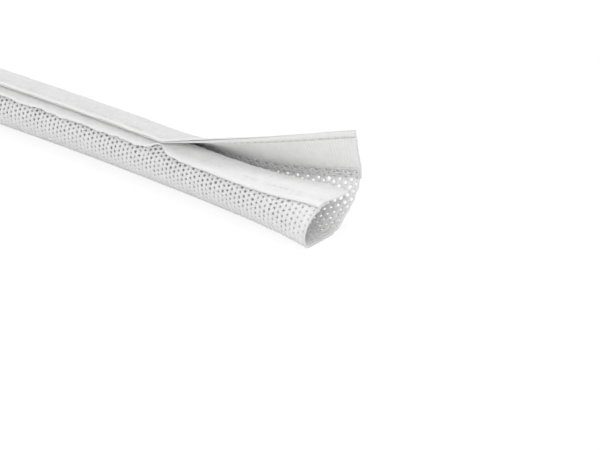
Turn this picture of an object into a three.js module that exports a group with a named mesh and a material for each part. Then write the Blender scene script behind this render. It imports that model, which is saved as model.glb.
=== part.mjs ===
// Hook and loop cable sleeve: a sheet of open mesh rolled into a tube, with a loop tape along one
// edge and a flap with hook tape along the other. The tube is closed at one end and peeled open at
// the other. Millimetres, +Z up, the sleeve along X with its mouth at +X.
import * as THREE from 'three';
import { mergeVertices } from 'three/addons/utils/BufferGeometryUtils.js';

// Cloth sizes
const SLEEVE_LENGTH = 250;
const TAPE_WIDTH = 20;
const SEAM_BAND = 4;
const SEAM_ALLOWANCE = 6;
const MESH_THICKNESS = 0.9;
const LOOP_TAPE_THICKNESS = 1.05;
const HOOK_TAPE_THICKNESS = 0.9;
const COVER_THICKNESS = 0.5;
const THREAD_WIDTH = 0.8;
const THREAD_HEIGHT = 0.45;
const LAYER_GAP = 0.3;

// Section of the closed tube, taken at the middle of the mesh
const NEAR_RADIUS = 9.55;
const NEAR_FLAT = 1.5;
const NEAR_TURN = 133;
const FAR_FLAT = 3;
const FAR_TURN = 109.5;
const FAR_RADIUS_GAIN = 0.3;
const FLAP_SLACK = 2.1;

// The peeled end: how far back the sleeve is open, and how the layers move there
const OPENING_LENGTH = 78;
const FAR_LEAD = 10;
const FLAP_LEAD = 12;
const NEAR_EASE = 4.5;
const FAR_EASE = 2.3;
const LOOP_EASE = 1.3;
const FLAP_EASE = 0.7;
const EASE_START = 0.08;
const NEAR_STRETCH = 1.2;
const FAR_STRETCH = 1.7;
const SWEEP = 10.3;
const SWEEP_LENGTH = 200;

// Slope of the cloth at the mouth, in degrees, at even steps from the floor to the end of each part
const NEAR_MOUTH_SLOPES = [0, 1, 78, 121, 147, 157];
const LOOP_MOUTH_SLOPES = [157, 188, 184, 171];
const FAR_MOUTH_SLOPES = [0, 0, 39, 38, 57, 82];
const FLAP_MOUTH_SLOPES = [82, 106, 100, 107];

// Knit of the mesh: staggered gaps with ridges that cross between them
const CELL_LENGTH = 10.4;
const CELL_WIDTH = 5.2;
const GAP_SHARE = 0.52;
const RIDGE_HEIGHT = 0.45;

// Lower edge of the loop tape: ripples between its stitches, and one pucker where the peel starts
const RIPPLE_DEPTH = 0.45;
const RIPPLE_LENGTH = 26;
const RIPPLE_LIFT = 0.5;
const RIPPLE_REACH = 5;
const PUCKER_DEPTH = 3.2;
const PUCKER_WIDTH = 5;
const PUCKER_BACK = 91;

// Places of the thread rows, measured from the edge that each one follows
const LOOP_THREAD_INSET = 4;
const EDGE_THREAD_INSET = 2.4;
const HOOK_THREAD_INSET = 1.1;
const ROOT_THREAD_INSET = 1.6;

const TAPE_STEPS = 8;
const WALK_STEP = 0.4;

// Sizes that follow from the ones above
const rad = THREE.MathUtils.degToRad;
const halfMesh = MESH_THICKNESS / 2;
const flapWidth = SEAM_BAND + TAPE_WIDTH;
const overlapStack = halfMesh + LAYER_GAP + LOOP_TAPE_THICKNESS + LAYER_GAP + HOOK_TAPE_THICKNESS / 2;
const lowerFarRadius = NEAR_RADIUS + FAR_RADIUS_GAIN;
const flapRadius = NEAR_RADIUS + overlapStack + FLAP_SLACK;
const nearMesh = NEAR_FLAT + NEAR_RADIUS * rad(NEAR_TURN);
const farMesh = FAR_FLAT + lowerFarRadius * rad(FAR_TURN);
const loopBand = {
  turn: NEAR_TURN, width: TAPE_WIDTH, radius: NEAR_RADIUS, mouthSlopes: LOOP_MOUTH_SLOPES,
};
const flapBand = {
  turn: FAR_TURN, width: flapWidth, radius: flapRadius, mouthSlopes: FLAP_MOUTH_SLOPES,
};
const mouthX = SLEEVE_LENGTH / 2;
const cellsLong = Math.max(2, Math.round(SLEEVE_LENGTH / CELL_LENGTH));
const columns = 2 * cellsLong;
const columnLength = SLEEVE_LENGTH / columns;

const white = (name, colour, roughness) => {
  const material = new THREE.MeshStandardMaterial({ color: colour, roughness, metalness: 0 });
  material.name = name;
  return material;
};
const meshYarn = white('mesh_yarn', 0xe6e6e5, 0.85);
const loopPile = white('loop_pile', 0xf1f0ef, 0.95);
const hookFace = white('hook_face', 0xdcdbd9, 0.6);
const coverWeave = white('cover_weave', 0xe9e8e7, 0.8);
const thread = white('thread', 0xc9c8c6, 0.7);

// How far a part of the section has opened, from 0 in the closed tube to 1 at the mouth
function opened(back, openLength, ease) {
  const t = THREE.MathUtils.clamp((openLength - back) / openLength, 0, 1);
  return (Math.pow(t, ease) * t * (1 + EASE_START)) / (t + EASE_START);
}

// Value at a fraction between even steps, on a smooth curve through them that never overshoots
function alongSteps(values, fraction) {
  const last = values.length - 1;
  const place = THREE.MathUtils.clamp(fraction, 0, 1) * last;
  const index = Math.min(Math.floor(place), last - 1);
  const rise = (i) => values[i + 1] - values[i];
  const slopeAt = (i) => {
    if (i === 0) return rise(0);
    if (i === last) return rise(last - 1);
    const before = rise(i - 1);
    const after = rise(i);
    return before * after <= 0 ? 0 : (2 * before * after) / (before + after);
  };
  const t = place - index;
  const t2 = t * t;
  const t3 = t2 * t;
  return (2 * t3 - 3 * t2 + 1) * values[index] + (t3 - 2 * t2 + t) * slopeAt(index)
    + (3 * t2 - 2 * t3) * values[index + 1] + (t3 - t2) * slopeAt(index + 1);
}

// Slope of the cloth on each side of the line that rests on the floor, in degrees.
// s is the distance across the unstretched cloth from that line.
function nearMeshSlope(back, s) {
  const open = opened(back, OPENING_LENGTH, NEAR_EASE);
  const closed = THREE.MathUtils.radToDeg(Math.max(0, s - NEAR_FLAT) / NEAR_RADIUS);
  return closed + (alongSteps(NEAR_MOUTH_SLOPES, s / nearMesh) - closed) * open;
}

function farMeshSlope(back, s) {
  const open = opened(back, OPENING_LENGTH + FAR_LEAD, FAR_EASE);
  const closed = THREE.MathUtils.radToDeg(Math.max(0, s - FAR_FLAT) / lowerFarRadius);
  return closed + (alongSteps(FAR_MOUTH_SLOPES, s / farMesh) - closed) * open;
}

// Slope on a band past the mesh. It opens by an ease of its own, and runs on from the mesh's edge.
function bandSlope(part, band, open, meshEdgeSlope) {
  const bent = (at) => {
    const closed = band.turn + THREE.MathUtils.radToDeg((at * band.width) / band.radius);
    return closed + (alongSteps(band.mouthSlopes, at) - closed) * open;
  };
  return bent(part) + (meshEdgeSlope - bent(0)) * (1 - part) ** 2;
}

function loopSlope(back, s) {
  const open = opened(back, OPENING_LENGTH + FLAP_LEAD, LOOP_EASE);
  return bandSlope((s - nearMesh) / TAPE_WIDTH, loopBand, open, nearMeshSlope(back, nearMesh));
}

function flapSlope(back, s) {
  const open = opened(back, OPENING_LENGTH + FLAP_LEAD, FLAP_EASE);
  return bandSlope((s - farMesh) / flapWidth, flapBand, open, farMeshSlope(back, farMesh));
}

// Point of the cloth's middle surface and its outward normal. across is measured over the flat
// cloth: negative on the near side of the resting line, positive on the far side.
function clothPoint(back, across) {
  const near = across < 0;
  const reach = Math.abs(across);
  const meshEnd = near ? nearMesh : farMesh;
  const fullStretch = near ? NEAR_STRETCH : FAR_STRETCH;
  const lead = near ? 0 : FAR_LEAD;
  const open = opened(back, OPENING_LENGTH + lead, near ? NEAR_EASE : FAR_EASE);
  const stretch = 1 + (fullStretch - 1) * open;
  const slope = (s) => {
    if (near) return rad(s < nearMesh ? nearMeshSlope(back, s) : loopSlope(back, s));
    return rad(s < farMesh ? farMeshSlope(back, s) : flapSlope(back, s));
  };
  const side = near ? -1 : 1;
  let y = 0;
  let z = 0;
  const walk = (from, to, scale) => {
    const count = Math.max(1, Math.ceil((to - from) / WALK_STEP));
    const step = (to - from) / count;
    for (let i = 0; i < count; i += 1) {
      const angle = slope(from + (i + 0.5) * step);
      y += side * Math.cos(angle) * step * scale;
      z += Math.sin(angle) * step * scale;
    }
  };
  walk(0, Math.min(reach, meshEnd), stretch);
  if (reach > meshEnd) walk(meshEnd, reach, 1);
  const angle = slope(reach);
  const swept = Math.max(0, 1 - back / SWEEP_LENGTH);
  return {
    y: y - SWEEP * swept * swept,
    z: z + halfMesh,
    ny: side * Math.sin(angle),
    nz: -Math.cos(angle),
  };
}

function vertexAt(back, across, offset) {
  const p = clothPoint(back, across);
  return [mouthX - back, p.y + p.ny * offset, p.z + p.nz * offset];
}

// Collects triangles and makes one closed geometry from them
class Shell {
  constructor() {
    this.positions = [];
  }

  quad(a, b, c, d) {
    this.positions.push(...a, ...b, ...c, ...a, ...c, ...d);
  }

  geometry() {
    const loose = new THREE.BufferGeometry();
    loose.setAttribute('position', new THREE.Float32BufferAttribute(this.positions, 3));
    const closed = mergeVertices(loose, 1e-4);
    closed.computeVertexNormals();
    return closed;
  }
}

// A band of cloth between two offsets from the middle surface. place(column, step) gives its
// distance from the mouth, its place across the cloth, and its inner and outer offsets. Steps run
// from the near side to the far side.
function bandGeometry(steps, place) {
  const shell = new Shell();
  const inner = [];
  const outer = [];
  for (let column = 0; column <= columns; column += 1) {
    inner.push([]);
    outer.push([]);
    for (let step = 0; step <= steps; step += 1) {
      const p = place(column, step);
      inner[column].push(vertexAt(p.back, p.across, p.inner));
      outer[column].push(vertexAt(p.back, p.across, p.outer));
    }
  }
  for (let column = 0; column < columns; column += 1) {
    for (let step = 0; step < steps; step += 1) {
      shell.quad(outer[column][step], outer[column + 1][step],
        outer[column + 1][step + 1], outer[column][step + 1]);
      shell.quad(inner[column][step], inner[column][step + 1],
        inner[column + 1][step + 1], inner[column + 1][step]);
    }
    shell.quad(inner[column][0], inner[column + 1][0], outer[column + 1][0], outer[column][0]);
    shell.quad(outer[column][steps], outer[column + 1][steps],
      inner[column + 1][steps], inner[column][steps]);
  }
  for (let step = 0; step < steps; step += 1) {
    shell.quad(outer[0][step], outer[0][step + 1], inner[0][step + 1], inner[0][step]);
    shell.quad(inner[columns][step], inner[columns][step + 1],
      outer[columns][step + 1], outer[columns][step]);
  }
  return shell.geometry();
}

// Lower edge of the loop tape: how far it draws up, and how far it stands off the mesh
function tapeRipple(back) {
  const turn = (2 * Math.PI * back) / RIPPLE_LENGTH;
  const settled = 1 - opened(back, OPENING_LENGTH, FLAP_EASE);
  return 0.5 * (1 + 0.7 * Math.sin(turn) + 0.3 * Math.sin(0.6 * turn + 1)) * settled;
}

function pucker(back) {
  return Math.exp(-(((back - PUCKER_BACK) / PUCKER_WIDTH) ** 2));
}

// Mesh: rows of cells on each side of the resting strip, every other cell with a gap
function meshGeometry() {
  const lines = [];
  const addRows = (from, to, count, kind) => {
    for (let row = 0; row < count; row += 1) {
      const start = from + ((to - from) * row) / count;
      const end = from + ((to - from) * (row + 1)) / count;
      lines.push({ start, end, kind });
    }
  };
  const nearRows = Math.max(1, Math.round((nearMesh - NEAR_FLAT) / CELL_WIDTH));
  const farRows = Math.max(1, Math.round((farMesh - FAR_FLAT) / CELL_WIDTH));
  addRows(-nearMesh - SEAM_ALLOWANCE, -nearMesh, 1, 'seam');
  addRows(-nearMesh, -NEAR_FLAT, nearRows, 'cells');
  addRows(-NEAR_FLAT, FAR_FLAT, 1, 'floor');
  addRows(FAR_FLAT, farMesh, farRows, 'cells');
  addRows(farMesh, farMesh + SEAM_BAND, 1, 'seam');

  const acrossAt = (line, half) => line.start + ((line.end - line.start) * half) / 2;
  const backAt = (half) => half * columnLength;
  // Ridges cross at the plain cells' middles, and are pressed flat on the floor and under the seams
  const relief = (row, cell, halfRow, halfColumn) => {
    const line = lines[row];
    if (line.kind !== 'cells') return 0;
    const border = halfRow === 0 ? lines[row - 1] : lines[row + 1];
    if (halfRow !== 1 && border.kind !== 'cells') return 0;
    if ((halfRow === 1) !== (halfColumn === 1)) return 0;
    const across = acrossAt(line, halfRow);
    const back = backAt(2 * cell + halfColumn);
    const angle = across < 0 ? nearMeshSlope(back, -across) : farMeshSlope(back, across);
    return angle < 90 ? RIDGE_HEIGHT * Math.sin(rad(angle)) : RIDGE_HEIGHT;
  };

  const shell = new Shell();
  const border = [[0, 0], [1, 0], [2, 0], [2, 1], [2, 2], [1, 2], [0, 2], [0, 1]];
  lines.forEach((line, row) => {
    for (let cell = 0; cell < cellsLong; cell += 1) {
      const at = (halfColumn, halfRow, side) => {
        const raised = side > 0 ? relief(row, cell, halfRow, halfColumn) : 0;
        return vertexAt(backAt(2 * cell + halfColumn), acrossAt(line, halfRow), side * halfMesh + raised);
      };
      const outerRing = border.map(([c, r]) => at(c, r, 1));
      const innerRing = border.map(([c, r]) => at(c, r, -1));
      const open = line.kind === 'cells' && (row + cell) % 2 === 0;
      const gapPoint = (halfColumn, halfRow, side) => {
        const diagonal = halfColumn !== 1 && halfRow !== 1 ? Math.SQRT1_2 : 1;
        const share = GAP_SHARE * diagonal;
        return at(1 + (halfColumn - 1) * share, 1 + (halfRow - 1) * share, side);
      };
      const outerGap = open ? border.map(([c, r]) => gapPoint(c, r, 1)) : null;
      const innerGap = open ? border.map(([c, r]) => gapPoint(c, r, -1)) : null;
      const outerMiddle = open ? null : at(1, 1, 1);
      const innerMiddle = open ? null : at(1, 1, -1);
      for (let i = 0; i < border.length; i += 1) {
        const j = (i + 1) % border.length;
        if (open) {
          shell.quad(outerRing[i], outerRing[j], outerGap[j], outerGap[i]);
          shell.quad(innerRing[j], innerRing[i], innerGap[i], innerGap[j]);
          shell.quad(outerGap[i], outerGap[j], innerGap[j], innerGap[i]);
        } else {
          shell.positions.push(...outerRing[i], ...outerRing[j], ...outerMiddle);
          shell.positions.push(...innerRing[j], ...innerRing[i], ...innerMiddle);
        }
        const [c0, r0] = border[i];
        const [c1, r1] = border[j];
        const onMouth = c0 === 0 && c1 === 0 && cell === 0;
        const onBack = c0 === 2 && c1 === 2 && cell === cellsLong - 1;
        const onStart = r0 === 0 && r1 === 0 && row === 0;
        const onEnd = r0 === 2 && r1 === 2 && row === lines.length - 1;
        if (onMouth || onBack || onStart || onEnd) {
          shell.quad(outerRing[j], outerRing[i], innerRing[i], innerRing[j]);
        }
      }
    }
  });
  return shell.geometry();
}

// Place of a point of the loop tape, by its distance from the tape's lower edge: across the cloth,
// and how far it stands off the mesh
function loopTapePlace(back, fromEdge) {
  const nearEdge = Math.max(0, 1 - fromEdge / RIPPLE_REACH);
  const drawnUp = RIPPLE_DEPTH * tapeRipple(back) + PUCKER_DEPTH * pucker(back);
  return {
    across: -nearMesh - fromEdge - drawnUp * nearEdge,
    lift: RIPPLE_LIFT * (tapeRipple(back) + pucker(back)) * nearEdge ** 2,
  };
}

// Loop tape: on the outer face of the near edge, its lower edge drawn up in ripples and one pucker
function loopTapeGeometry() {
  return bandGeometry(TAPE_STEPS, (column, step) => {
    const back = column * columnLength;
    const place = loopTapePlace(back, TAPE_WIDTH * (1 - step / TAPE_STEPS));
    const inner = halfMesh + LAYER_GAP + place.lift;
    return { back, across: place.across, inner, outer: inner + LOOP_TAPE_THICKNESS };
  });
}

function flapBandGeometry(from, to, steps, inner, outer) {
  return bandGeometry(steps, (column, step) => ({
    back: column * columnLength,
    across: from + ((to - from) * step) / steps,
    inner,
    outer,
  }));
}

// A row of thread: a low rib that lies on the layer below it. placeAt gives its middle line.
function threadGeometry(placeAt, layerTop) {
  return bandGeometry(1, (column, step) => {
    const back = column * columnLength;
    const place = placeAt(back);
    const inner = layerTop + LAYER_GAP + place.lift;
    const across = place.across + (step - 0.5) * THREAD_WIDTH;
    return { back, across, inner, outer: inner + THREAD_HEIGHT };
  });
}

const coverInner = halfMesh + LAYER_GAP;
const coverOuter = coverInner + COVER_THICKNESS;
const flapEdge = farMesh + flapWidth;
const hookStart = farMesh + SEAM_BAND + LAYER_GAP;
const halfHook = HOOK_TAPE_THICKNESS / 2;
const loopTapeOuter = halfMesh + LAYER_GAP + LOOP_TAPE_THICKNESS;

const sleeve = new THREE.Group();
sleeve.name = 'cable_sleeve';

function addPiece(name, geometry, material) {
  const piece = new THREE.Mesh(geometry, material);
  piece.name = name;
  sleeve.add(piece);
}

addPiece('mesh_panel', meshGeometry(), meshYarn);
addPiece('loop_tape', loopTapeGeometry(), loopPile);
addPiece('hook_tape', flapBandGeometry(hookStart, flapEdge, TAPE_STEPS, -halfHook, halfHook), hookFace);
addPiece('flap_cover', flapBandGeometry(farMesh, flapEdge, TAPE_STEPS + 1, coverInner, coverOuter), coverWeave);
const loopRow = (back) => loopTapePlace(back, LOOP_THREAD_INSET);
const coverRow = (across) => () => ({ across, lift: 0 });
const edgeRow = coverRow(flapEdge - EDGE_THREAD_INSET);
const hookRow = coverRow(hookStart + HOOK_THREAD_INSET);
const rootRow = coverRow(farMesh + ROOT_THREAD_INSET);
addPiece('loop_tape_thread', threadGeometry(loopRow, loopTapeOuter), thread);
addPiece('flap_edge_thread', threadGeometry(edgeRow, coverOuter), thread);
addPiece('hook_tape_thread', threadGeometry(hookRow, coverOuter), thread);
addPiece('flap_root_thread', threadGeometry(rootRow, coverOuter), thread);

// The origin is at the middle of the sleeve, on the surface it rests on
const box = new THREE.Box3().setFromObject(sleeve);
sleeve.position.y = -(box.min.y + box.max.y) / 2;

export default sleeve;
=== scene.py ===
import math

import bmesh
import bpy
import numpy as np
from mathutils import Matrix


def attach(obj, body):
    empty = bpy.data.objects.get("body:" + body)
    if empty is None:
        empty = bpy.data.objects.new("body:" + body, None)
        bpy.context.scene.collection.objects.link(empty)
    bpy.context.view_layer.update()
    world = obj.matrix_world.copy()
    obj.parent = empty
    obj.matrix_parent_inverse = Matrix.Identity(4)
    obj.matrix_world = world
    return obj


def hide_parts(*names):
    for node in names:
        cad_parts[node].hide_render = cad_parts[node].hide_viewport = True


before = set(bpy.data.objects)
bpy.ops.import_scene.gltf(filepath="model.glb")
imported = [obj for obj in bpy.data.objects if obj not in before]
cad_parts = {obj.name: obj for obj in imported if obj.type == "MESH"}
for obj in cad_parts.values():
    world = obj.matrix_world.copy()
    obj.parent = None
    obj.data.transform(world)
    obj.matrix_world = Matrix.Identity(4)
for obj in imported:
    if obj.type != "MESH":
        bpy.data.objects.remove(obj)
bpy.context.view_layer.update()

MM = 0.001

# Cloth sizes, as in the solids
SLEEVE_LENGTH = 250 * MM
TAPE_WIDTH = 20 * MM
SEAM_BAND = 4 * MM
SEAM_ALLOWANCE = 6 * MM
HALF_MESH = 0.45 * MM
LOOP_TAPE_THICKNESS = 1.05 * MM
HALF_HOOK_TAPE = 0.45 * MM
COVER_THICKNESS = 0.5 * MM
LAYER_GAP = 0.3 * MM

# Section of the closed tube
NEAR_RADIUS = 9.55 * MM
NEAR_FLAT = 1.5 * MM
NEAR_TURN = math.radians(133)
FAR_FLAT = 3 * MM
FAR_TURN = math.radians(109.5)
FAR_RADIUS = NEAR_RADIUS + 0.3 * MM
FLAP_RADIUS = NEAR_RADIUS + 4.65 * MM

# The peeled end
OPENING_LENGTH = 78 * MM
FAR_LEAD = 10 * MM
FLAP_LEAD = 12 * MM
NEAR_EASE = 4.5
FAR_EASE = 2.3
LOOP_EASE = 1.3
FLAP_EASE = 0.7
EASE_START = 0.08
NEAR_STRETCH = 1.2
FAR_STRETCH = 1.7
SWEEP = 10.3 * MM
SWEEP_LENGTH = 200 * MM
NEAR_MOUTH_SLOPES = np.radians([0, 1, 78, 121, 147, 157])
LOOP_MOUTH_SLOPES = np.radians([157, 188, 184, 171])
FAR_MOUTH_SLOPES = np.radians([0, 0, 39, 38, 57, 82])
FLAP_MOUTH_SLOPES = np.radians([82, 106, 100, 107])

# Lower edge of the loop tape
RIPPLE_DEPTH = 0.45 * MM
RIPPLE_LENGTH = 26 * MM
RIPPLE_LIFT = 0.5 * MM
RIPPLE_REACH = 5 * MM
PUCKER_DEPTH = 3.2 * MM
PUCKER_WIDTH = 5 * MM
PUCKER_BACK = 91 * MM

# Rows of stitches
STITCH_PITCH = 3.1 * MM
STITCH_LENGTH = 2.5 * MM
THREAD_WIDTH = 0.62 * MM
THREAD_HEIGHT = 0.42 * MM
LOOP_THREAD_INSET = 4 * MM
EDGE_THREAD_INSET = 2.4 * MM
HOOK_THREAD_INSET = 1.1 * MM
ROOT_THREAD_INSET = 1.6 * MM

# Knit of the mesh
KNIT_LENGTH = 4.93 * MM
KNIT_WIDTH = 2.11 * MM
GAP_LENGTH = 0.95 * MM
GAP_WIDTH = 0.66 * MM
YARN_LIFT = 0.35 * MM
SEAM_GAP_SHARE = 0.5
LIP_GAP_SHARE = 0.3
LIP_REACH = 12 * MM
STRETCH_REACH = 60 * MM
FRAY = 0.8 * MM
FRAY_REACH = 3 * MM

# How far the whole sleeve is set sideways, as the solids are
SIDE_SHIFT = 0.5614 * MM

# Steps in the table of the cloth's surface
WALK_STEP = 0.25 * MM
SECTION_STEP = 0.5 * MM
WALK_MARGIN = 3 * MM
LENGTH_MARGIN = 2 * MM

# Places across the flat cloth, from the resting line, and heights off its middle
near_mesh = NEAR_FLAT + NEAR_RADIUS * NEAR_TURN
far_mesh = FAR_FLAT + FAR_RADIUS * FAR_TURN
flap_width = SEAM_BAND + TAPE_WIDTH
flap_edge = far_mesh + flap_width
hook_start = far_mesh + SEAM_BAND + LAYER_GAP
cover_inner = HALF_MESH + LAYER_GAP
cover_outer = cover_inner + COVER_THICKNESS
loop_inner = HALF_MESH + LAYER_GAP
loop_outer = loop_inner + LOOP_TAPE_THICKNESS


# The middle of the cloth, section by section

def opened(back, open_length, ease):
    """How far a part of the section has opened: 0 in the closed tube, 1 at the mouth."""
    t = np.clip((open_length - back) / open_length, 0, 1)
    return t ** ease * t * (1 + EASE_START) / (t + EASE_START)


def along_steps(values, fraction):
    """Value at a fraction between even steps, on a smooth curve that never overshoots."""
    last = len(values) - 1
    place = np.clip(fraction, 0, 1) * last
    index = np.minimum(np.floor(place).astype(int), last - 1)
    rise = np.diff(values)
    before, after = rise[:-1], rise[1:]
    total = before + after
    safe = np.where(np.abs(total) < 1e-12, 1, total)
    inner = np.where(before * after <= 0, 0, 2 * before * after / safe)
    slope = np.concatenate([rise[:1], inner, rise[-1:]])
    t = place - index
    t2, t3 = t * t, t * t * t
    return ((2 * t3 - 3 * t2 + 1) * values[index] + (t3 - 2 * t2 + t) * slope[index]
            + (3 * t2 - 2 * t3) * values[index + 1] + (t3 - t2) * slope[index + 1])


def near_mesh_slope(back, s):
    """Slope of the mesh on the near side, at a distance s from the resting line."""
    closed = np.maximum(0, s - NEAR_FLAT) / NEAR_RADIUS
    mouth = along_steps(NEAR_MOUTH_SLOPES, s / near_mesh)
    return closed + (mouth - closed) * opened(back, OPENING_LENGTH, NEAR_EASE)


def far_mesh_slope(back, s):
    """Slope of the mesh on the far side."""
    closed = np.maximum(0, s - FAR_FLAT) / FAR_RADIUS
    mouth = along_steps(FAR_MOUTH_SLOPES, s / far_mesh)
    return closed + (mouth - closed) * opened(back, OPENING_LENGTH + FAR_LEAD, FAR_EASE)


def band_slope(part, turn, reach, mouth_slopes, free, mesh_edge_slope):
    """Slope on a band past the mesh, which opens by its own ease and runs on from the mesh's edge."""
    def bent(at):
        closed = turn + at * reach
        return closed + (along_steps(mouth_slopes, at) - closed) * free

    return bent(part) + (mesh_edge_slope - bent(np.zeros(1))) * (1 - part) ** 2


def near_slope(back, s):
    """Slope of the near side, over the mesh and then the loop tape."""
    free = opened(back, OPENING_LENGTH + FLAP_LEAD, LOOP_EASE)
    band = band_slope((s - near_mesh) / TAPE_WIDTH, NEAR_TURN, TAPE_WIDTH / NEAR_RADIUS,
                      LOOP_MOUTH_SLOPES, free, near_mesh_slope(back, np.array([near_mesh])))
    return np.where(s < near_mesh, near_mesh_slope(back, s), band)


def far_slope(back, s):
    """Slope of the far side, over the mesh and then the flap."""
    free = opened(back, OPENING_LENGTH + FLAP_LEAD, FLAP_EASE)
    band = band_slope((s - far_mesh) / flap_width, FAR_TURN, flap_width / FLAP_RADIUS,
                      FLAP_MOUTH_SLOPES, free, far_mesh_slope(back, np.array([far_mesh])))
    return np.where(s < far_mesh, far_mesh_slope(back, s), band)


def walk_side(back, side):
    """Steps from the resting line to one edge, with y, z and slope of the cloth at each."""
    reach = (near_mesh + TAPE_WIDTH if side < 0 else flap_edge) + WALK_MARGIN
    s = np.arange(0, reach, WALK_STEP)
    middle = s[:-1] + WALK_STEP / 2
    if side < 0:
        slope_at, mesh_end, stretch = near_slope, near_mesh, NEAR_STRETCH
        open_here = opened(back, OPENING_LENGTH, NEAR_EASE)
    else:
        slope_at, mesh_end, stretch = far_slope, far_mesh, FAR_STRETCH
        open_here = opened(back, OPENING_LENGTH + FAR_LEAD, FAR_EASE)
    scale = np.where(middle < mesh_end, 1 + (stretch - 1) * open_here, 1)
    angle = slope_at(back, middle)
    y = np.concatenate([[0], np.cumsum(side * np.cos(angle) * WALK_STEP * scale)])
    z = np.concatenate([[0], np.cumsum(np.sin(angle) * WALK_STEP * scale)])
    return s, y, z, slope_at(back, s)


def cloth_surface():
    """Table of the cloth's middle over its flat length and width."""
    backs = np.arange(-LENGTH_MARGIN, SLEEVE_LENGTH + LENGTH_MARGIN, SECTION_STEP)
    rows = []
    for back in backs:
        s_near, y_near, z_near, a_near = walk_side(back, -1)
        y_far, z_far, a_far = walk_side(back, 1)[1:]
        sweep = SWEEP * max(0, 1 - back / SWEEP_LENGTH) ** 2
        y = np.concatenate([y_near[:0:-1], y_far]) - sweep
        z = np.concatenate([z_near[:0:-1], z_far]) + HALF_MESH
        normal_y = np.concatenate([-np.sin(a_near[:0:-1]), np.sin(a_far)])
        normal_z = np.concatenate([-np.cos(a_near[:0:-1]), -np.cos(a_far)])
        rows.append(np.stack([y, z, normal_y, normal_z], axis=1))
    return backs[0], -s_near[-1], np.array(rows)


first_back, first_across, cloth = cloth_surface()


def on_cloth(back, across):
    """y, z and outward normal of the cloth's middle at places on the flat cloth."""
    u = (back - first_back) / SECTION_STEP
    v = (across - first_across) / WALK_STEP
    i = np.clip(np.floor(u).astype(int), 0, cloth.shape[0] - 2)
    j = np.clip(np.floor(v).astype(int), 0, cloth.shape[1] - 2)
    p, q = (u - i)[:, None], (v - j)[:, None]
    return ((1 - p) * (1 - q) * cloth[i, j] + p * (1 - q) * cloth[i + 1, j]
            + (1 - p) * q * cloth[i, j + 1] + p * q * cloth[i + 1, j + 1])


def slope_on_cloth(back, across):
    """Slope of the cloth away from the floor, from 0 flat to pi turned over."""
    at = on_cloth(back, across)
    return np.arctan2(np.abs(at[:, 2]), -at[:, 3])


# The table of random bumps, and how far in from its corner the sleeve starts
BUMP_GRID = 256
BUMP_SHIFT = 40


def unevenness(back, across, size, seed):
    """Soft random bumps of one size over the flat cloth, from -1 to 1."""
    bumps = np.random.RandomState(seed).uniform(-1, 1, (BUMP_GRID, BUMP_GRID))
    u, v = back / size + BUMP_SHIFT, across / size + BUMP_SHIFT
    i, j = np.floor(u).astype(int), np.floor(v).astype(int)
    p, q = u - i, v - j
    p, q = p * p * (3 - 2 * p), q * q * (3 - 2 * q)
    corner = [[bumps[(i + a) % BUMP_GRID, (j + b) % BUMP_GRID] for b in (0, 1)] for a in (0, 1)]
    return ((1 - p) * ((1 - q) * corner[0][0] + q * corner[0][1])
            + p * ((1 - q) * corner[1][0] + q * corner[1][1]))


# Flat pieces and rolling them up

def vertices_of(piece):
    """Places of a piece's vertices. Flat, x is the distance from the mouth, y the place across
    the cloth and z the height off its middle."""
    places = np.zeros(len(piece.data.vertices) * 3)
    piece.data.vertices.foreach_get("co", places)
    return places.reshape(-1, 3)


def move_vertices(piece, places):
    """Moves every vertex of a piece to a new place."""
    piece.data.vertices.foreach_set("co", places.astype(np.float32).ravel())
    piece.data.update()


def lay_out_weave(piece):
    """UV map in metres of flat cloth."""
    flat = vertices_of(piece)
    layers = piece.data.uv_layers
    layer = layers[0] if layers else layers.new(name="cloth")
    layer.name = "cloth"
    corners = np.zeros(len(piece.data.loops), dtype=np.int32)
    piece.data.loops.foreach_get("vertex_index", corners)
    layer.data.foreach_set("uv", flat[corners, :2].astype(np.float32).ravel())


def roll_up(piece):
    """Carries a flat piece to its place on the sleeve."""
    flat = vertices_of(piece)
    at = on_cloth(flat[:, 0], flat[:, 1])
    x = SLEEVE_LENGTH / 2 - flat[:, 0]
    y = at[:, 0] + at[:, 2] * flat[:, 2] + SIDE_SHIFT
    z = at[:, 1] + at[:, 3] * flat[:, 2]
    move_vertices(piece, np.stack([x, y, z], axis=1))


def apply_modifiers(piece):
    """Applies what a piece still has as modifiers, in their order."""
    bpy.context.view_layer.objects.active = piece
    for modifier in list(piece.modifiers):
        bpy.ops.object.modifier_apply(modifier=modifier.name)


def smooth(piece, degrees=60):
    """Shades a piece smooth, except over edges sharper than an angle."""
    bpy.ops.object.select_all(action="DESELECT")
    piece.select_set(True)
    bpy.context.view_layer.objects.active = piece
    bpy.ops.object.shade_smooth_by_angle(angle=math.radians(degrees))


def flat_band(name, start, end, columns, rows, inner, outer):
    """Flat strip of cloth over the sleeve's length, between two heights off the cloth's middle."""
    bpy.ops.object.select_all(action="DESELECT")
    bpy.ops.mesh.primitive_grid_add(x_subdivisions=columns, y_subdivisions=rows, size=1)
    piece = bpy.context.object
    piece.name = name
    piece.data.name = name
    piece.scale = (SLEEVE_LENGTH, end - start, 1)
    piece.location = (SLEEVE_LENGTH / 2, (start + end) / 2, outer)
    bpy.ops.object.transform_apply(location=True, rotation=True, scale=True)
    thickness = piece.modifiers.new("thickness", "SOLIDIFY")
    thickness.thickness = outer - inner
    thickness.offset = -1
    apply_modifiers(piece)
    lay_out_weave(piece)
    return piece


def edge_fall(across, start, end, reach):
    """0 at the long edges of a band, 1 from a small distance in."""
    inset = np.minimum(across - start, end - across)
    t = np.clip(inset / reach, 0, 1)
    return np.sqrt(t * (2 - t))


def beside(place, line, width):
    """1 on a line, falling away softly on both sides of it."""
    return np.exp(-((place - line) / width) ** 2)


DENT_WIDTH = 0.75 * MM
DENT_ALONG_ROW = 0.7


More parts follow.
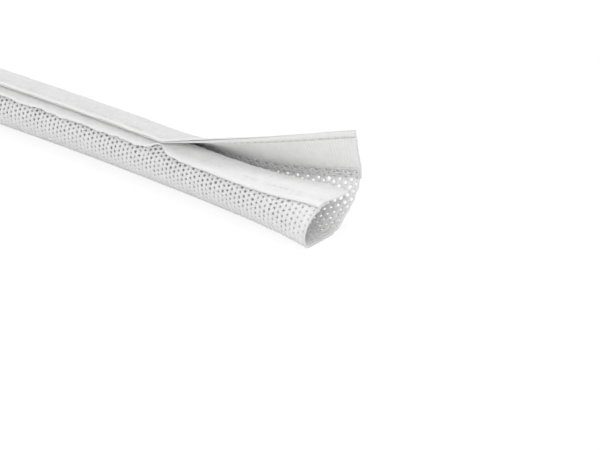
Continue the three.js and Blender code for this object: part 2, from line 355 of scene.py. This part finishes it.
def stitch_dent(back, across, row, width=DENT_WIDTH):
    """Dent that a row of stitches pulls into the cloth, from 0 to 1."""
    between = 0.5 + 0.5 * np.cos(2 * math.pi * back / STITCH_PITCH)
    return beside(across, row, width) * (DENT_ALONG_ROW + (1 - DENT_ALONG_ROW) * between)


# Mesh: staggered gaps with round yarn between them

RIM_CORNERS = 8
RINGS = 5
SHOULDER_IN = 0.55
SHOULDER_HEIGHT = 0.82
SHOULDER_ROUND = 0.05
THIN_YARN = 0.5
UNEVEN_GAPS = (0.65, 1.25)
# Gaps against the usual one, at the resting line and what they gain towards each edge
NEAR_GAP_LOW, NEAR_GAP_RISE = 0.52, 0.6
FAR_GAP_LOW, FAR_GAP_RISE = 0.6, 0.4
STRETCHED_GAP_RISE = 0.7
UNEVEN_YARN = 0.35
PULL_ALONG = 0.24 * MM
PULL_ACROSS = 0.2 * MM
SEAM_CLEARANCE = 0.5 * MM
WELD = 0.02 * MM


def knit_columns():
    """How many columns of cells the sleeve takes, and their pitch."""
    columns = max(2, round(2 * SLEEVE_LENGTH / KNIT_LENGTH))
    return columns, SLEEVE_LENGTH / columns


def knit_cell(pitch, width, gap_scale):
    """Corners of one knit cell around its gap: outer rim, shoulder, gap, inner shoulder and rim."""
    half = width / 2
    corner = (pitch ** 2 - half ** 2) / (2 * pitch)
    side = (pitch ** 2 + half ** 2) / (2 * pitch)
    rim = np.array([(corner, half), (0, half), (-corner, half), (-side, 0),
                    (-corner, -half), (0, -half), (corner, -half), (side, 0)])
    height = np.array([1, THIN_YARN, 1, 1, 1, THIN_YARN, 1, 1])
    around = np.radians([45, 90, 135, 180, 225, 270, 315, 0])
    gap = np.stack([np.cos(around) * GAP_LENGTH / 2, np.sin(around) * GAP_WIDTH / 2], axis=1)
    gap *= gap_scale
    shoulder = (1 - SHOULDER_IN) * rim + SHOULDER_IN * gap
    shoulder_height = SHOULDER_HEIGHT * height + SHOULDER_ROUND
    rings = [(rim, height), (shoulder, shoulder_height), (gap, 0 * height),
             (shoulder, -shoulder_height), (rim, -height)]
    return np.concatenate([np.column_stack([ring, tall]) for ring, tall in rings])


def gap_share(back, across):
    """Size of a gap against the usual one: open where the mesh is stretched, and nearly closed
    along the lip, in the seams and where the cloth lies on the floor."""
    if across > far_mesh or across < -near_mesh - SEAM_ALLOWANCE / 2:
        return SEAM_GAP_SHARE
    if across < 0:
        lip = LIP_GAP_SHARE + (1 - LIP_GAP_SHARE) * min(1, back / LIP_REACH)
        return lip * (NEAR_GAP_LOW - NEAR_GAP_RISE * across / near_mesh)
    stretched = max(0, 1 - back / STRETCH_REACH) * across / far_mesh
    return FAR_GAP_LOW + FAR_GAP_RISE * across / far_mesh + STRETCHED_GAP_RISE * stretched


def knit_mesh():
    """Builds the mesh cell by cell, every other column moved over by half a cell."""
    low, high = -near_mesh - SEAM_ALLOWANCE, far_mesh + SEAM_BAND
    columns, pitch = knit_columns()
    rows = round((high - low) / KNIT_WIDTH)
    width = (high - low) / rows
    uneven = np.random.RandomState(seed=11)
    places, faces = [], []
    for column in range(columns):
        staggered = column % 2
        for row in range(rows - staggered):
            middle = low + (row + 0.5 + 0.5 * staggered) * width
            scale = uneven.uniform(*UNEVEN_GAPS) * gap_share((column + 0.5) * pitch, middle)
            cell = knit_cell(pitch, width, scale)
            cell[:, 0] = np.maximum(0, cell[:, 0] + (column + 0.5) * pitch)
            cell[:, 1] += middle
            first = len(cell) * len(places)
            places.append(cell)
            for ring in range(RINGS - 1):
                start = first + RIM_CORNERS * ring
                for corner in range(RIM_CORNERS):
                    a, b = start + corner, start + (corner + 1) % RIM_CORNERS
                    faces.append((a, b, b + RIM_CORNERS, a + RIM_CORNERS))
    mesh = bpy.data.meshes.new("knit_mesh")
    mesh.from_pydata(np.concatenate(places).tolist(), [], faces)
    piece = bpy.data.objects.new("knit_mesh", mesh)
    bpy.context.scene.collection.objects.link(piece)
    close_knit_edges(mesh)
    lay_out_weave(piece)
    shape_knit(piece)
    roll_up(piece)
    mesh.polygons.foreach_set("use_smooth", [True] * len(mesh.polygons))
    return piece


def close_knit_edges(mesh):
    """Joins the cells, and closes the yarn along the edges and the cut ends."""
    shell = bmesh.new()
    shell.from_mesh(mesh)
    bmesh.ops.remove_doubles(shell, verts=shell.verts, dist=WELD)
    rim = [edge for edge in shell.edges if edge.is_boundary]

    def spot(corner):
        return round(corner.co.x, 6), round(corner.co.y, 6)

    below = {}
    for edge in rim:
        for corner in edge.verts:
            if corner.co.z < 0:
                below[spot(corner)] = corner

    def under(corner):
        return below[spot(corner)]

    for edge in rim:
        if min(corner.co.z for corner in edge.verts) < 0:
            continue
        loop = edge.link_loops[0]
        start, end = loop.vert, loop.link_loop_next.vert
        shell.faces.new((end, start, under(start), under(end)))
    shell.normal_update()
    shell.to_mesh(mesh)
    shell.free()


def shape_knit(piece):
    """Gives the yarn its thickness, and pulls the knit a little out of true."""
    flat = vertices_of(piece)
    back, across, height = flat[:, 0].copy(), flat[:, 1].copy(), flat[:, 2].copy()
    slope = slope_on_cloth(back, across)
    lift = np.where(slope < math.pi / 2, np.sin(slope), 1)
    lift *= (across > -near_mesh + SEAM_CLEARANCE) & (across < far_mesh)
    lift *= 1 + UNEVEN_YARN * unevenness(back, across, size=2.2 * MM, seed=5)
    outer = HALF_MESH + YARN_LIFT * lift
    flat[:, 2] = height * np.where(height > 0, outer, HALF_MESH)
    frayed = np.clip(1 - back / FRAY_REACH, 0, 1) * (across > FAR_FLAT)
    flat[:, 0] += FRAY * frayed * np.abs(unevenness(0 * back, across, size=1.3 * MM, seed=23))
    from_mouth = np.clip(back / FRAY_REACH, 0, 1)
    flat[:, 0] += PULL_ALONG * from_mouth * unevenness(back, across, size=2.6 * MM, seed=21)
    flat[:, 1] += PULL_ACROSS * unevenness(back, across, size=2.3 * MM, seed=22)
    move_vertices(piece, flat)


# Loop tape: brushed pile, with gathers along its lower edge

GATHER_DEPTH = 0.38 * MM
GATHER_LIFT = 0.5 * MM
FINE_GATHERS = 0.6
PULLED_FLAT = 0.85
PULLED_FLAT_EASE = 0.1
PILE_DEPTH = 0.10 * MM
TAPE_WAVE_DEPTH = 0.12 * MM
LOOP_DENT_DEPTH = 0.08 * MM
LOOP_RIM_FALL = 0.45 * MM
LOOP_RIM_REACH = 1.2 * MM
LONG_RIPPLE, SLOW_RIPPLE = 0.7, 0.3
SLOW_RIPPLE_TURN = 0.6


def tape_ripple(back):
    """Long ripple of the lower edge, from 0 to 1, which settles where the sleeve opens."""
    turn = 2 * math.pi * back / RIPPLE_LENGTH
    settled = 1 - opened(back, OPENING_LENGTH, FLAP_EASE)
    sway = LONG_RIPPLE * np.sin(turn) + SLOW_RIPPLE * np.sin(SLOW_RIPPLE_TURN * turn + 1)
    return 0.5 * (1 + sway) * settled


def pucker(back):
    """The one deep gather, just behind the peeled part."""
    return beside(back, PUCKER_BACK, PUCKER_WIDTH)


def tape_gathers(back):
    """Small gathers of the lower edge, which the peeled part pulls flat."""
    coarse = unevenness(back, 0 * back, size=4 * MM, seed=31)
    fine = unevenness(back, 0 * back, size=1.8 * MM, seed=34)
    flattened = PULLED_FLAT * opened(back, PUCKER_BACK + PUCKER_WIDTH, PULLED_FLAT_EASE)
    return (coarse + FINE_GATHERS * fine) * ((1 - flattened) * (1 - pucker(back)))


def loop_tape():
    """Soft tape on the near edge of the mesh."""
    start, end = -near_mesh - TAPE_WIDTH, -near_mesh
    piece = flat_band("loop_pile_tape", start, end, columns=420, rows=42,
                      inner=loop_inner, outer=loop_outer)
    flat = vertices_of(piece)
    back, across, height = flat.T.copy()
    outer_face = height > (loop_inner + loop_outer) / 2
    near_edge = np.maximum(0, 1 - (end - across) / RIPPLE_REACH)
    ripple, gathers = tape_ripple(back), tape_gathers(back)
    drawn_up = RIPPLE_DEPTH * ripple + PUCKER_DEPTH * pucker(back) + GATHER_DEPTH * gathers
    lift = RIPPLE_LIFT * (ripple + pucker(back)) + GATHER_LIFT * np.maximum(0, gathers)
    pile = PILE_DEPTH * unevenness(back, across, size=1.1 * MM, seed=32)
    pile += TAPE_WAVE_DEPTH * unevenness(back, across, size=5 * MM, seed=33)
    rim = edge_fall(across, start, end, LOOP_RIM_REACH)
    dent = LOOP_DENT_DEPTH * stitch_dent(back, across, end - LOOP_THREAD_INSET)
    flat[:, 1] = across - drawn_up * near_edge
    flat[:, 2] = height + lift * near_edge ** 2
    flat[:, 2] += np.where(outer_face, pile * rim - dent - LOOP_RIM_FALL * (1 - rim), 0)
    move_vertices(piece, flat)
    roll_up(piece)
    smooth(piece)
    return piece


# Flap: the hook tape and the cover curl up together at their free edge

EDGE_CURL = 0.5 * MM
EDGE_CURL_REACH = 3 * MM


def edge_curl(across):
    """How far the flap's free edge curls off the tape below it."""
    return EDGE_CURL * np.clip(1 + (across - flap_edge) / EDGE_CURL_REACH, 0, 1) ** 2


# Hook tape: ribs of hooks across it, and a plain edge on each side

RIB_PITCH = 1.2 * MM
COLUMNS_A_RIB = 4
RIB_HEIGHT = 0.34 * MM
RIB_BOW = 0.25 * MM
PLAIN_LOWER_EDGE = 1.8 * MM
PLAIN_FREE_EDGE = 3.2 * MM
RIB_END = 0.8 * MM
WORN_RIBS, UNEVEN_RIBS = 0.8, 0.4
HOOK_DENT_DEPTH = 0.12 * MM
EDGE_DENT_DEPTH = 0.4 * MM
EDGE_DENT_WIDTH = 0.5 * MM
HOOK_RIM_REACH = 0.8 * MM
HOOK_RIM_FALL = 0.25 * MM
HOOK_ROLL_INSET = 1 * MM
HOOK_ROLL_WIDTH = 0.6 * MM
HOOK_ROLL_HEIGHT = 0.15 * MM


def hook_tape():
    """Ribbed tape on the inner face of the flap."""
    columns = COLUMNS_A_RIB * round(SLEEVE_LENGTH / RIB_PITCH)
    piece = flat_band("hook_rib_tape", hook_start, flap_edge, columns=columns, rows=26,
                      inner=-HALF_HOOK_TAPE, outer=HALF_HOOK_TAPE)
    flat = vertices_of(piece)
    back, across, height = flat.T.copy()
    hooked = edge_fall(across, hook_start + PLAIN_LOWER_EDGE, flap_edge - PLAIN_FREE_EDGE, RIB_END)
    bowed = back + RIB_BOW * unevenness(back, across, size=6 * MM, seed=42)
    rib = 0.5 + 0.5 * np.cos(2 * math.pi * bowed / RIB_PITCH)
    worn = WORN_RIBS + UNEVEN_RIBS * unevenness(back, across, size=1.3 * MM, seed=41)
    hooks = RIB_HEIGHT * rib * hooked * worn
    dent = HOOK_DENT_DEPTH * stitch_dent(back, across, hook_start + HOOK_THREAD_INSET)
    edge_row = flap_edge - EDGE_THREAD_INSET
    dent += EDGE_DENT_DEPTH * stitch_dent(back, across, edge_row, EDGE_DENT_WIDTH)
    rim = edge_fall(across, hook_start, flap_edge, HOOK_RIM_REACH)
    rolled = HOOK_ROLL_HEIGHT * beside(across, flap_edge - HOOK_ROLL_INSET, HOOK_ROLL_WIDTH)
    inward = hooks + rolled - dent - HOOK_RIM_FALL * (1 - rim)
    flat[:, 2] += edge_curl(across) - np.where(height < 0, inward, 0)
    move_vertices(piece, flat)
    roll_up(piece)
    smooth(piece)
    return piece


# Cover: the flap's outer band, with a rolled free edge

COVER_WAVE_DEPTH = 0.14 * MM
COVER_CREASE_DEPTH = 0.06 * MM
COVER_DENT_DEPTH = 0.06 * MM
COVER_RIM_REACH = 0.7 * MM
COVER_RIM_FALL = 0.2 * MM
COVER_ROLL_INSET = 0.8 * MM
COVER_ROLL_WIDTH = 0.7 * MM
COVER_ROLL_HEIGHT = 0.3 * MM
EDGE_SWAY = 0.18 * MM


def flap_cover():
    """Woven band that closes over the tube."""
    piece = flat_band("woven_cover", far_mesh, flap_edge, columns=420, rows=48,
                      inner=cover_inner, outer=cover_outer)
    flat = vertices_of(piece)
    back, across, height = flat.T.copy()
    outer_face = height > (cover_inner + cover_outer) / 2
    wavy = COVER_WAVE_DEPTH * unevenness(back, across, size=4.5 * MM, seed=51)
    wavy += COVER_CREASE_DEPTH * unevenness(back, across, size=1.4 * MM, seed=52)
    rows = (far_mesh + ROOT_THREAD_INSET, hook_start + HOOK_THREAD_INSET,
            flap_edge - EDGE_THREAD_INSET)
    dent = COVER_DENT_DEPTH * np.max([stitch_dent(back, across, row) for row in rows], axis=0)
    rim = edge_fall(across, far_mesh, flap_edge, COVER_RIM_REACH)
    rolled = COVER_ROLL_HEIGHT * beside(across, flap_edge - COVER_ROLL_INSET, COVER_ROLL_WIDTH)
    outward = wavy * rim - dent + rolled - COVER_RIM_FALL * (1 - rim)
    flat[:, 2] += edge_curl(across) + np.where(outer_face, outward, 0)
    sway = EDGE_SWAY * unevenness(back, 0 * back, size=9 * MM, seed=53)
    flat[:, 1] += sway * np.clip((across - far_mesh) / flap_width, 0, 1) ** 4
    move_vertices(piece, flat)
    roll_up(piece)
    smooth(piece)
    return piece


# Stitches: short bent lengths of thread, a row on each face that shows them

STITCH_BEND = 0.12 * MM
STITCH_SLANT = 0.12
STITCH_NUDGE = 0.1 * MM
LAST_STITCH_INSET = 0.2 * MM


def one_stitch():
    """One stitch along x, bent down at both ends and slanted a little."""
    bpy.ops.object.select_all(action="DESELECT")
    bpy.ops.mesh.primitive_uv_sphere_add(segments=10, ring_count=6, radius=0.5,
                                         rotation=(0, math.pi / 2, 0))
    stitch = bpy.context.object
    bpy.ops.object.transform_apply(location=True, rotation=True, scale=True)
    bpy.ops.object.mode_set(mode="EDIT")
    bpy.ops.mesh.select_all(action="SELECT")
    bpy.ops.transform.resize(value=(STITCH_LENGTH, THREAD_WIDTH, THREAD_HEIGHT))
    bpy.ops.object.mode_set(mode="OBJECT")
    bend = vertices_of(stitch)
    bend[:, 2] -= STITCH_BEND * (2 * bend[:, 0] / STITCH_LENGTH) ** 2
    bend[:, 1] += STITCH_SLANT * bend[:, 0]
    move_vertices(stitch, bend)
    return stitch


def stitched_face(row, height, outward):
    """A row of stitches over the sleeve's length, on the cloth's outer or inner face."""
    stitches = one_stitch()
    repeat = stitches.modifiers.new("row", "ARRAY")
    repeat.count = int(SLEEVE_LENGTH / STITCH_PITCH)
    repeat.use_relative_offset = False
    repeat.use_constant_offset = True
    repeat.constant_offset_displace = (STITCH_PITCH, 0, 0)
    apply_modifiers(stitches)
    flat = vertices_of(stitches)
    flat[:, 0] += STITCH_PITCH / 2 + (0 if outward else STITCH_PITCH / 4)
    flat[:, 0] = np.minimum(flat[:, 0], SLEEVE_LENGTH - LAST_STITCH_INSET)
    own_place = np.floor(flat[:, 0] / STITCH_PITCH) * STITCH_PITCH
    flat[:, 1] += row + STITCH_NUDGE * unevenness(own_place, 0 * own_place, size=2 * MM, seed=61)
    flat[:, 2] = height + (flat[:, 2] if outward else -flat[:, 2])
    move_vertices(stitches, flat)
    if not outward:
        stitches.data.flip_normals()
    return stitches


def stitch_row(name, row, outer_height, inner_height):
    """Stitches at one place across the cloth, on both faces, as one piece."""
    faces = [stitched_face(row, outer_height, True), stitched_face(row, inner_height, False)]
    bpy.ops.object.select_all(action="DESELECT")
    for stitches in faces:
        stitches.select_set(True)
    bpy.context.view_layer.objects.active = faces[0]
    bpy.ops.object.join()
    piece = bpy.context.view_layer.objects.active
    piece.name = name
    piece.data.name = name
    lay_out_weave(piece)
    roll_up(piece)
    smooth(piece, degrees=80)
    return piece


# Finishes

WHITE = (1, 1, 1)
# At a scale of 1 the wave texture repeats every 0.314
WAVE_SCALE = 0.314


class Finish:
    """A cloth material whose patterns follow the flat cloth, in millimetres."""

    def __init__(self, name, roughness, sheen):
        self.material = bpy.data.materials.new(name)
        self.material.use_nodes = True
        self.nodes = self.material.node_tree.nodes
        self.links = self.material.node_tree.links
        self.shader = self.nodes["Principled BSDF"]
        self.shader.inputs["Roughness"].default_value = roughness
        self.shader.inputs["Sheen Weight"].default_value = sheen
        self.shader.inputs["Sheen Roughness"].default_value = 0.6
        self.shader.inputs["Specular IOR Level"].default_value = 0.25
        self.shader.inputs["Subsurface Weight"].default_value = 0.4
        self.shader.inputs["Subsurface Radius"].default_value = (1, 1, 1)
        self.shader.inputs["Subsurface Scale"].default_value = 2 * MM
        uv = self.nodes.new("ShaderNodeUVMap")
        uv.uv_map = "cloth"
        self.flat = uv.outputs["UV"]
        self.normal = None

    def placed(self, scale, turn=0):
        """Places on the flat cloth in millimetres, scaled and turned."""
        mapping = self.nodes.new("ShaderNodeMapping")
        mapping.inputs["Scale"].default_value = (1000 * scale[0], 1000 * scale[1], 1000)
        mapping.inputs["Rotation"].default_value = (0, 0, math.radians(turn))
        self.links.new(self.flat, mapping.inputs["Vector"])
        return mapping.outputs["Vector"]

    def mottle(self, size, detail=3, stretch=(1, 1)):
        """Soft patches of one size."""
        node = self.nodes.new("ShaderNodeTexNoise")
        node.inputs["Scale"].default_value = 1
        node.inputs["Detail"].default_value = detail
        node.inputs["Roughness"].default_value = 0.6
        place = self.placed((stretch[0] / size, stretch[1] / size))
        self.links.new(place, node.inputs["Vector"])
        return node.outputs["Fac"]

    def threads(self, pitch, turn=0, sway=0.6):
        """Parallel threads at one pitch, not quite straight."""
        node = self.nodes.new("ShaderNodeTexWave")
        node.wave_type = "BANDS"
        node.bands_direction = "X"
        node.inputs["Scale"].default_value = WAVE_SCALE / pitch
        node.inputs["Distortion"].default_value = sway
        node.inputs["Detail"].default_value = 1
        self.links.new(self.placed((1, 1), turn), node.inputs["Vector"])
        return node.outputs["Fac"]

    def combined(self, a, b, how="MULTIPLY"):
        """Two patterns as one."""
        node = self.nodes.new("ShaderNodeMath")
        node.operation = how
        self.links.new(a, node.inputs[0])
        self.links.new(b, node.inputs[1])
        return node.outputs["Value"]

    def tones(self, source, dark, light, low=0.3, high=0.7):
        """Colours between a dark and a light tone."""
        ramp = self.nodes.new("ShaderNodeValToRGB")
        ramp.color_ramp.elements[0].position = low
        ramp.color_ramp.elements[0].color = (*dark, 1)
        ramp.color_ramp.elements[1].position = high
        ramp.color_ramp.elements[1].color = (*light, 1)
        self.links.new(source, ramp.inputs["Fac"])
        return ramp.outputs["Color"]

    def blended(self, source, first, second, how="MIX"):
        """Two colours blended by a share or a pattern."""
        mix = self.nodes.new("ShaderNodeMix")
        mix.data_type = "RGBA"
        mix.blend_type = how
        if isinstance(source, (int, float)):
            mix.inputs["Factor"].default_value = source
        else:
            self.links.new(source, mix.inputs["Factor"])
        self.links.new(first, mix.inputs["A"])
        self.links.new(second, mix.inputs["B"])
        return mix.outputs["Result"]

    def colour(self, source):
        self.links.new(source, self.shader.inputs["Base Color"])

    def near_line(self, at, reach, middle):
        """A value along one line of the cloth that fades to 0 on both sides."""
        parts = self.nodes.new("ShaderNodeSeparateXYZ")
        self.links.new(self.flat, parts.inputs["Vector"])
        off = self.nodes.new("ShaderNodeMath")
        off.operation = "SUBTRACT"
        off.inputs[1].default_value = at
        self.links.new(parts.outputs["Y"], off.inputs[0])
        size = self.nodes.new("ShaderNodeMath")
        size.operation = "ABSOLUTE"
        self.links.new(off.outputs["Value"], size.inputs[0])
        fade = self.nodes.new("ShaderNodeMapRange")
        fade.interpolation_type = "SMOOTHSTEP"
        fade.inputs["From Max"].default_value = reach
        fade.inputs["To Min"].default_value = middle
        fade.inputs["To Max"].default_value = 0
        self.links.new(size.outputs["Value"], fade.inputs["Value"])
        return fade.outputs["Result"]

    def plain(self, tone):
        node = self.nodes.new("ShaderNodeRGB")
        node.outputs["Color"].default_value = (*tone, 1)
        return node.outputs["Color"]

    def relief(self, source, depth, strength):
        """Fine relief on top of what the finish already has."""
        bump = self.nodes.new("ShaderNodeBump")
        bump.inputs["Strength"].default_value = strength
        bump.inputs["Distance"].default_value = depth
        self.links.new(source, bump.inputs["Height"])
        if self.normal is not None:
            self.links.new(self.normal, bump.inputs["Normal"])
        self.normal = bump.outputs["Normal"]
        self.links.new(self.normal, self.shader.inputs["Normal"])


def mesh_yarn_finish():
    finish = Finish("mesh_yarn", 0.85, 0.2)
    strand = finish.threads(0.34, turn=62, sway=1.4)
    other = finish.threads(0.34, turn=-62, sway=1.4)
    fibres = finish.mottle(0.35, detail=4)
    wide = finish.tones(finish.mottle(9), dark=(0.92, 0.92, 0.918), light=(0.97, 0.97, 0.968))
    fine = finish.tones(fibres, dark=(0.92, 0.92, 0.918), light=WHITE)
    body = finish.blended(0.9, wide, fine, "MULTIPLY")
    # Painted shade: the mesh is darker in a band over the flap's seam band, where it lies doubled
    # over the cover in shade.
    seam_shade_mask = finish.near_line(far_mesh + SEAM_BAND / 2, reach=3.5 * MM, middle=0.45)
    painted_seam_shade = finish.plain((0.6, 0.6, 0.598))
    finish.colour(finish.blended(seam_shade_mask, body, painted_seam_shade))
    finish.relief(finish.combined(strand, other, "ADD"), depth=0.07 * MM, strength=0.8)
    finish.relief(fibres, depth=0.05 * MM, strength=0.6)
    return finish.material


def loop_pile_finish():
    finish = Finish("loop_pile", 0.95, 0.35)
    loops = finish.mottle(0.55, detail=5)
    brushed = finish.mottle(2.6, detail=3, stretch=(0.6, 1.4))
    wide = finish.tones(brushed, dark=(0.87, 0.87, 0.868), light=(0.93, 0.93, 0.928))
    fine = finish.tones(loops, dark=(0.9, 0.9, 0.9), light=WHITE)
    body = finish.blended(0.6, wide, fine, "MULTIPLY")
    # Painted highlight: the pile is lighter along the tape's lower edge, where its raised rim catches
    # the light.
    lower_edge_highlight = finish.near_line(-near_mesh, reach=3 * MM, middle=0.8)
    painted_highlight = finish.plain((0.96, 0.96, 0.958))
    finish.colour(finish.blended(lower_edge_highlight, body, painted_highlight))
    finish.relief(brushed, depth=0.25 * MM, strength=0.5)
    finish.relief(loops, depth=0.22 * MM, strength=0.8)
    return finish.material


def hook_face_finish():
    finish = Finish("hook_face", 0.6, 0.1)
    weave = finish.combined(finish.threads(0.42), finish.threads(0.5, turn=90), "MULTIPLY")
    wear = finish.mottle(3.5)
    wide = finish.tones(wear, dark=(0.9, 0.897, 0.892), light=(0.95, 0.947, 0.942))
    ribs = finish.threads(RIB_PITCH / MM, sway=0.3)
    fine = finish.tones(ribs, dark=(0.94, 0.94, 0.94), light=WHITE, low=0.0, high=0.8)
    body = finish.blended(0.8, wide, fine, "MULTIPLY")
    # Painted shade: a dark line just below the edge row of stitches, where the groove they pull in
    # lies in shade.
    below_edge_row = flap_edge - EDGE_THREAD_INSET - THREAD_WIDTH / 2
    groove_shade = finish.near_line(below_edge_row, reach=0.5 * MM, middle=0.7)
    body = finish.blended(groove_shade, body, finish.plain((0.45, 0.448, 0.444)))
    # Painted shade: a darker line along the lower row of stitches, where their dent lies in shade.
    row = finish.near_line(hook_start + HOOK_THREAD_INSET, reach=0.6 * MM, middle=0.35)
    finish.colour(finish.blended(row, body, finish.plain((0.5, 0.498, 0.494))))
    finish.relief(weave, depth=0.12 * MM, strength=0.8)
    finish.relief(finish.mottle(0.4, detail=4), depth=0.06 * MM, strength=0.5)
    return finish.material


def cover_weave_finish():
    finish = Finish("cover_weave", 0.8, 0.25)
    warp = finish.threads(0.55, turn=8, sway=1.2)
    weft = finish.threads(0.48, turn=98, sway=1.2)
    weave = finish.combined(warp, weft)
    cloudy = finish.mottle(3.2, detail=4)
    wide = finish.tones(cloudy, dark=(0.85, 0.85, 0.847), light=(0.95, 0.95, 0.947))
    fine = finish.tones(weave, dark=(0.86, 0.86, 0.86), light=WHITE, low=0.0, high=0.5)
    body = finish.blended(0.8, wide, fine, "MULTIPLY")
    # Painted highlight: the weave is lighter along the flap's free edge, where its rolled rim catches
    # the light.
    free_edge_highlight = finish.near_line(flap_edge, reach=1.6 * MM, middle=0.9)
    painted_highlight = finish.plain((0.95, 0.95, 0.948))
    finish.colour(finish.blended(free_edge_highlight, body, painted_highlight))
    finish.relief(cloudy, depth=0.22 * MM, strength=0.6)
    finish.relief(weave, depth=0.1 * MM, strength=0.8)
    return finish.material


def sewing_thread_finish():
    finish = Finish("sewing_thread", 0.6, 0.15)
    twist = finish.threads(0.3, turn=35, sway=0.3)
    dark, light = (0.82, 0.818, 0.812), (0.93, 0.928, 0.922)
    finish.colour(finish.tones(twist, dark, light, low=0.2, high=0.8))
    finish.relief(twist, depth=0.06 * MM, strength=0.8)
    return finish.material


def dress(piece, material, slot, *nodes):
    """Gives a piece its finish and its place in the part."""
    piece.data.materials.clear()
    piece.data.materials.append(material)
    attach(piece, "root")
    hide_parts(*nodes)


# The pieces, and how the cloth is held

thread_finish = sewing_thread_finish()
net = knit_mesh()
dress(net, mesh_yarn_finish(), "mesh_yarn", "mesh_panel")
pile_tape = loop_tape()
dress(pile_tape, loop_pile_finish(), "loop_pile", "loop_tape")
rib_tape = hook_tape()
dress(rib_tape, hook_face_finish(), "hook_face", "hook_tape")
cover = flap_cover()
dress(cover, cover_weave_finish(), "cover_weave", "flap_cover")

SUNK_THREAD = 0.2 * MM
PROUD_THREAD = 0.1 * MM
inside_mesh, inside_hooks = -HALF_MESH - PROUD_THREAD, -HALF_HOOK_TAPE
loop_stitches = stitch_row("loop_tape_stitches", -near_mesh - LOOP_THREAD_INSET,
                           loop_outer - SUNK_THREAD, inside_mesh)
dress(loop_stitches, thread_finish, "sewing_thread", "loop_tape_thread")
edge_stitches = stitch_row("flap_edge_stitches", flap_edge - EDGE_THREAD_INSET,
                           cover_outer, inside_hooks + SUNK_THREAD)
dress(edge_stitches, thread_finish, "sewing_thread", "flap_edge_thread")
hook_stitches = stitch_row("hook_tape_stitches", hook_start + HOOK_THREAD_INSET,
                           cover_outer, inside_hooks)
dress(hook_stitches, thread_finish, "sewing_thread", "hook_tape_thread")
root_stitches = stitch_row("flap_root_stitches", far_mesh + ROOT_THREAD_INSET,
                           cover_outer, inside_mesh)
dress(root_stitches, thread_finish, "sewing_thread", "flap_root_thread")


# Floor, light and camera

def seen_directly(nodes, links):
    """1 for what the camera, a reflection or a see-through surface shows, and 0 for light cast."""
    path = nodes.new("ShaderNodeLightPath")
    either = nodes.new("ShaderNodeMath")
    either.operation = "MAXIMUM"
    links.new(path.outputs["Is Camera Ray"], either.inputs[0])
    links.new(path.outputs["Is Glossy Ray"], either.inputs[1])
    seen = nodes.new("ShaderNodeMath")
    seen.operation = "MAXIMUM"
    links.new(either.outputs["Value"], seen.inputs[0])
    links.new(path.outputs["Is Transmission Ray"], seen.inputs[1])
    return seen.outputs["Value"]


def by_sight(nodes, links, cast, seen, target):
    """Feeds a socket one value for light cast and another for what is seen directly."""
    level = nodes.new("ShaderNodeMapRange")
    level.inputs["To Min"].default_value = cast
    level.inputs["To Max"].default_value = seen
    links.new(seen_directly(nodes, links), level.inputs["Value"])
    links.new(level.outputs["Result"], target)


def white_stage(name, size, bounce, albedo, glow):
    """Pale floor that shows white to the camera and keeps the sleeve's shadow."""
    bpy.ops.object.select_all(action="DESELECT")
    bpy.ops.mesh.primitive_plane_add(size=size)
    plane = bpy.context.object
    plane.name = name
    material = bpy.data.materials.new(name)
    material.use_nodes = True
    nodes, links = material.node_tree.nodes, material.node_tree.links
    shader = nodes["Principled BSDF"]
    shader.inputs["Roughness"].default_value = 1
    shader.inputs["Specular IOR Level"].default_value = 0
    shader.inputs["Emission Color"].default_value = (1, 1, 1, 1)
    by_sight(nodes, links, bounce, albedo, shader.inputs["Base Color"])
    by_sight(nodes, links, 0, glow, shader.inputs["Emission Strength"])
    plane.data.materials.append(material)


def white_world(light, background):
    """Even light from all sides, and a white background."""
    world = bpy.data.worlds.new("studio")
    bpy.context.scene.world = world
    world.use_nodes = True
    nodes, links = world.node_tree.nodes, world.node_tree.links
    shade = nodes["Background"]
    shade.inputs["Color"].default_value = (1, 1, 1, 1)
    by_sight(nodes, links, light, background, shade.inputs["Strength"])


def soft_lamp(name, place, size, power):
    """Round lamp that points at the middle of the sleeve."""
    data = bpy.data.lights.new(name, "AREA")
    data.shape = "DISK"
    data.size = size
    data.energy = power
    lamp = bpy.data.objects.new(name, data)
    bpy.context.scene.collection.objects.link(lamp)
    lamp.location = place
    lamp.rotation_euler = (-lamp.location).to_track_quat("-Z", "Y").to_euler()


white_stage("floor", size=8, bounce=0.9, albedo=0.2, glow=0.83)
white_world(light=0.71, background=1.0)
soft_lamp("overhead_lamp", place=(0.0, 0.45, 1.5), size=0.6, power=4.7)
soft_lamp("front_lamp", place=(0.9, -1.2, 1.0), size=0.9, power=6.5)

# The camera's place and lens, fitted to the outlines in the photograph
AZIMUTH = math.radians(38.4)
ELEVATION = math.radians(25.8)
CAMERA_DISTANCE = 1069.9 * MM
TARGET = (125 * MM, SIDE_SHIFT, 0)
FOCAL_PIXELS = 2503.6
PICTURE_WIDTH, PICTURE_HEIGHT = 600, 450
TARGET_PIXEL = (334.69, 234.0)
SENSOR = 36

camera_data = bpy.data.cameras.new("camera")
camera = bpy.data.objects.new("camera", camera_data)
bpy.context.scene.collection.objects.link(camera)
away = (math.sin(AZIMUTH) * math.cos(ELEVATION), -math.cos(AZIMUTH) * math.cos(ELEVATION),
        math.sin(ELEVATION))
camera.location = [place + CAMERA_DISTANCE * part for place, part in zip(TARGET, away)]
camera.rotation_euler = (math.pi / 2 - ELEVATION, 0, AZIMUTH)
camera_data.sensor_width = SENSOR
camera_data.lens = FOCAL_PIXELS / PICTURE_WIDTH * SENSOR
camera_data.shift_x = (PICTURE_WIDTH / 2 - TARGET_PIXEL[0]) / PICTURE_WIDTH
camera_data.shift_y = (TARGET_PIXEL[1] - PICTURE_HEIGHT / 2) / PICTURE_WIDTH
camera_data.clip_start = 0.01
camera_data.clip_end = 50
bpy.context.scene.camera = camera
bpy.context.scene.view_settings.view_transform = "Standard"
